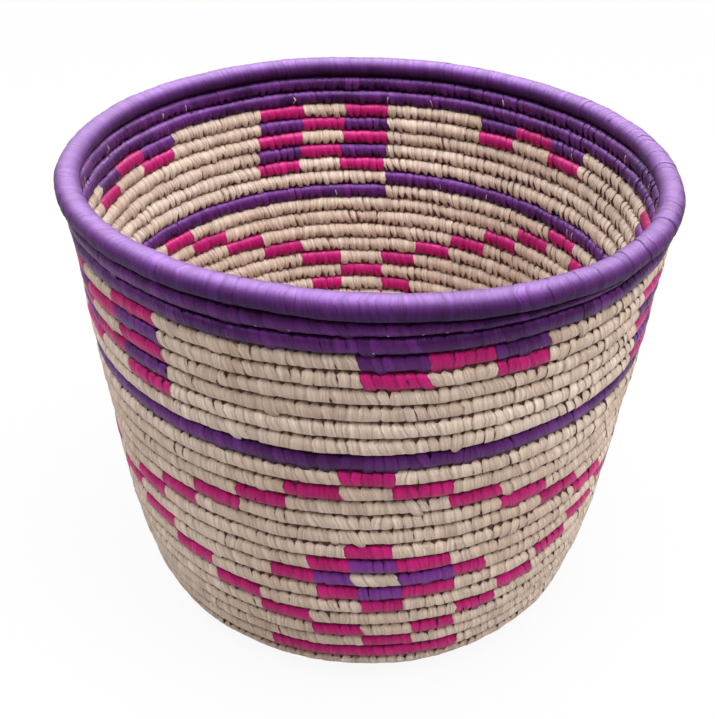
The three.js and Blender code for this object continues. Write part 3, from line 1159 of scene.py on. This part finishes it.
# %% Bind the rim
RIM_PITCH = 0.0046
RIM_SEED = 91
path, strips = path_of("rim_path", rim, 0.0, rim.turns[-1], all_purple, RIM_PITCH)
rim_values = {
    **common,
    "Strips": strips,
    "Seed": RIM_SEED,
    "Dyed strip": rim_strip,
    "Purple leaf": rim_leaf,
    "Dyed overlap": 1.35,
    "Dyed notch": 0.0,
    "Loose ends": 0.0,
    "Teeth": 0.0,
    "Fray": 0.0025,
    "Bulge": 0.08,
    "Core height": 0.9,
    "Core foot": 1.25,
    "Core inside": 1.0,
}
piece("bound_rim", bind(path, rim_values), RIM)
print(strips, "strips on the rim")

# %% [markdown]
# ## Floor, light and camera
# The basket stands on a plain white floor, which keeps a soft shadow near the basket and goes over to full
# white further off, so that no edge or horizon shows. More light would bleach the leaf, so the white comes
# from what the camera sees and not from the lamps. Light for the colours and light for the gloss are apart:
# two side lamps and one overhead show in no gloss, and a sheen lamp and a backdrop show only in the gloss,
# along the rim and the dyed rows. The room's even light fills the front and the inside. The camera stands
# where the photograph was taken from.

# %% Floor
FLOOR_SIZE = 6.0
FLOOR_GREY = srgb(190, 190, 190)
FADE = (0.3, 1.5)  # between these distances from the middle the floor goes over to full white
NEAR_WHITE = 0.92  # how much of the floor by the basket is white whatever the shadow
GLOSS_SHARE = 0.05


def seen_white(tree):
    """1 for what the camera sees, straight or through glass, and a share of it for what a gloss shows."""
    path = add(tree, "ShaderNodeLightPath").outputs
    gloss = maths(tree, "MULTIPLY", path["Is Glossy Ray"], GLOSS_SHARE)
    seen = maths(tree, "MAXIMUM", path["Is Camera Ray"], path["Is Transmission Ray"])
    return maths(tree, "MAXIMUM", seen, gloss)


def floor_material():
    material, tree, shader = new_material("white_floor")
    shader.inputs["Base Color"].default_value = FLOOR_GREY
    shader.inputs["Roughness"].default_value = MATT
    glow = add(tree, "ShaderNodeEmission", {"Color": WHITE, "Strength": 1.0})
    distance = add(tree, "ShaderNodeVectorMath", {0: own_place(tree)}, operation="LENGTH").outputs["Value"]
    share = maths(tree, "MULTIPLY", seen_white(tree), span(tree, distance, *FADE, NEAR_WHITE, 1.0))
    both = add(tree, "ShaderNodeMixShader", {0: share, 1: shader.outputs[0], 2: glow.outputs[0]})
    tree.links.new(both.outputs[0], tree.nodes["Material Output"].inputs["Surface"])
    return material


floor_mesh = bpy.data.meshes.new("floor")
half = FLOOR_SIZE / 2
floor_corners = [(-half, -half, 0), (half, -half, 0), (half, half, 0), (-half, half, 0)]
floor_mesh.from_pydata(floor_corners, [], [(0, 1, 2, 3)])
floor_mesh.materials.append(floor_material())
floor = bpy.data.objects.new("floor", floor_mesh)
bpy.context.scene.collection.objects.link(floor)
print("floor of", FLOOR_SIZE, "m each way")

# %% Light
# Name, place, the height on the axis that it looks at, width, height and watts
COLOUR_LAMPS = (
    ("left", (-0.75, -0.5, 1.35), 0.15, 0.9, 0.9, 7.0),
    ("right", (0.85, -0.45, 1.35), 0.15, 0.9, 0.9, 16.5),
    ("overhead", (0.0, 0.0, 1.3), 0.2, 1.5, 1.0, 24.0),
)
GLOSS_LAMPS = (
    ("sheen", (0.0, 0.25, 1.2), 0.2, 1.8, 1.6, 270.0),
    ("backdrop", (0.0, 1.5, 0.7), 0.3, 3.6, 1.6, 22.0),
)
ROOM_LIGHT = 0.22


def soft_lamp(name, place, aim, width, height, watts):
    data = bpy.data.lights.new(name, "AREA")
    data.shape = "RECTANGLE"
    data.size = width
    data.size_y = height
    data.energy = watts
    lamp = bpy.data.objects.new(name, data)
    bpy.context.scene.collection.objects.link(lamp)
    lamp.location = place
    lamp.visible_camera = False
    lamp.rotation_mode = "QUATERNION"
    lamp.rotation_quaternion = (Vector((0, 0, aim)) - Vector(place)).to_track_quat("-Z", "Y")
    return lamp


for values in COLOUR_LAMPS:
    soft_lamp(*values).visible_glossy = False
for values in GLOSS_LAMPS:
    soft_lamp(*values).visible_diffuse = False

world = bpy.data.worlds.new("room")
world.use_nodes = True
bpy.context.scene.world = world
background = world.node_tree.nodes["Background"]
background.inputs["Color"].default_value = WHITE
strength = span(world.node_tree, seen_white(world.node_tree), 0.0, 1.0, ROOM_LIGHT, 1.0)
world.node_tree.links.new(strength, background.inputs["Strength"])
print("lamps:", [lamp.name for lamp in bpy.data.lights])

# %% Camera
IMAGE_HEIGHT = 719  # pixels, the longer side
FOCAL_PIXELS = 978.2
SENSOR = 36.0
AIM = Vector((-0.0046, 0.0, 0.1086))
DISTANCE = 0.5201
DOWN = 0.6019  # radians below level
ROLL = 0.0177

lens = bpy.data.cameras.new("camera")
lens.sensor_width = SENSOR
lens.lens = FOCAL_PIXELS * SENSOR / IMAGE_HEIGHT
camera = bpy.data.objects.new("camera", lens)
bpy.context.scene.collection.objects.link(camera)
forward = Vector((0.0, math.cos(DOWN), -math.sin(DOWN)))
right = Vector((1.0, 0.0, 0.0))
upward = right.cross(forward)
rolled_right = right * math.cos(ROLL) + upward * math.sin(ROLL)
rolled_up = upward * math.cos(ROLL) - right * math.sin(ROLL)
turn = Matrix((rolled_right, rolled_up, -forward)).transposed()
camera.matrix_world = Matrix.Translation(AIM - forward * DISTANCE) @ turn.to_4x4()
bpy.context.scene.camera = camera
bpy.context.scene.view_settings.view_transform = "Standard"
print("camera at", [round(value, 4) for value in camera.location], "lens", round(lens.lens, 2))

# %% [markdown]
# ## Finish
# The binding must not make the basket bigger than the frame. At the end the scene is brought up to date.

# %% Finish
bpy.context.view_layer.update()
